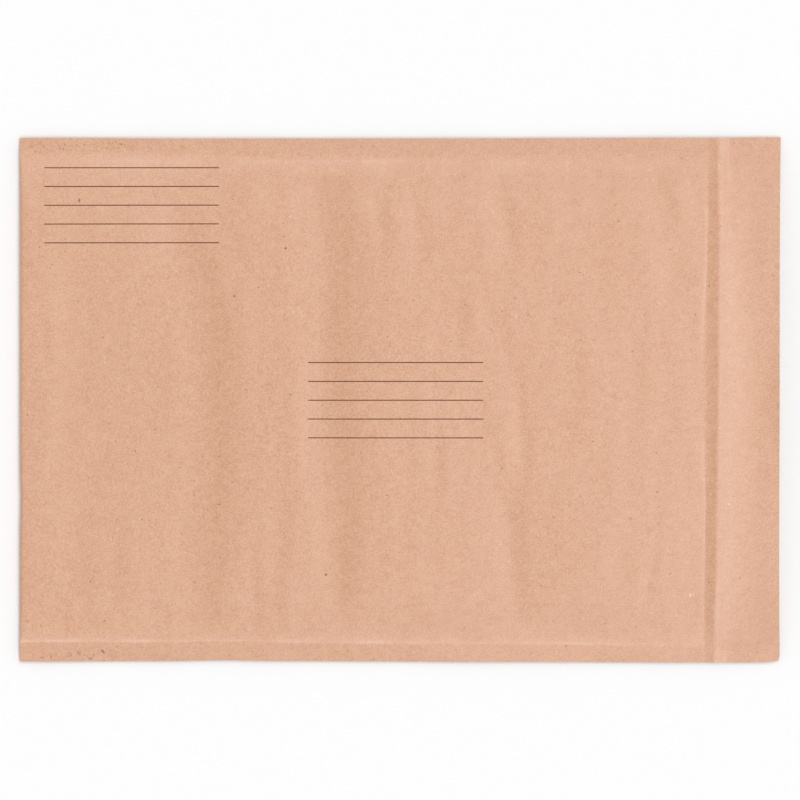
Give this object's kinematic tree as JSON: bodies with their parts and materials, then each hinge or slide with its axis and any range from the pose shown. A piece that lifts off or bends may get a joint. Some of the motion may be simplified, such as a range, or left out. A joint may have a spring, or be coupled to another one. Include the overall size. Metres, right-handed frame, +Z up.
{
  "type": "padded envelope",
  "caption": "Kraft padded envelope lying address side up: a bubble-lined pouch with a bottom fold, bonded side seams and an open creased flap with a covered gum strip under it.",
  "frame": {"origin": "middle of the envelope's plan, on the surface that it lies on", "axes": "+X along the length from the bottom fold to the flap, +Y across the width, +Z up out of the address side"},
  "size_m": [0.348, 0.24, 0.0132],
  "materials": {
    "kraft_paper": "matte",
    "bubble_film": "gloss",
    "adhesive": "satin",
    "release_paper": "satin"
  },
  "bodies": {
    "root": {"kraft_cover": "kraft_paper", "bubble_liner": "bubble_film", "adhesive_strip": "adhesive", "release_strip": "release_paper"}
  },
  "joints": []
}
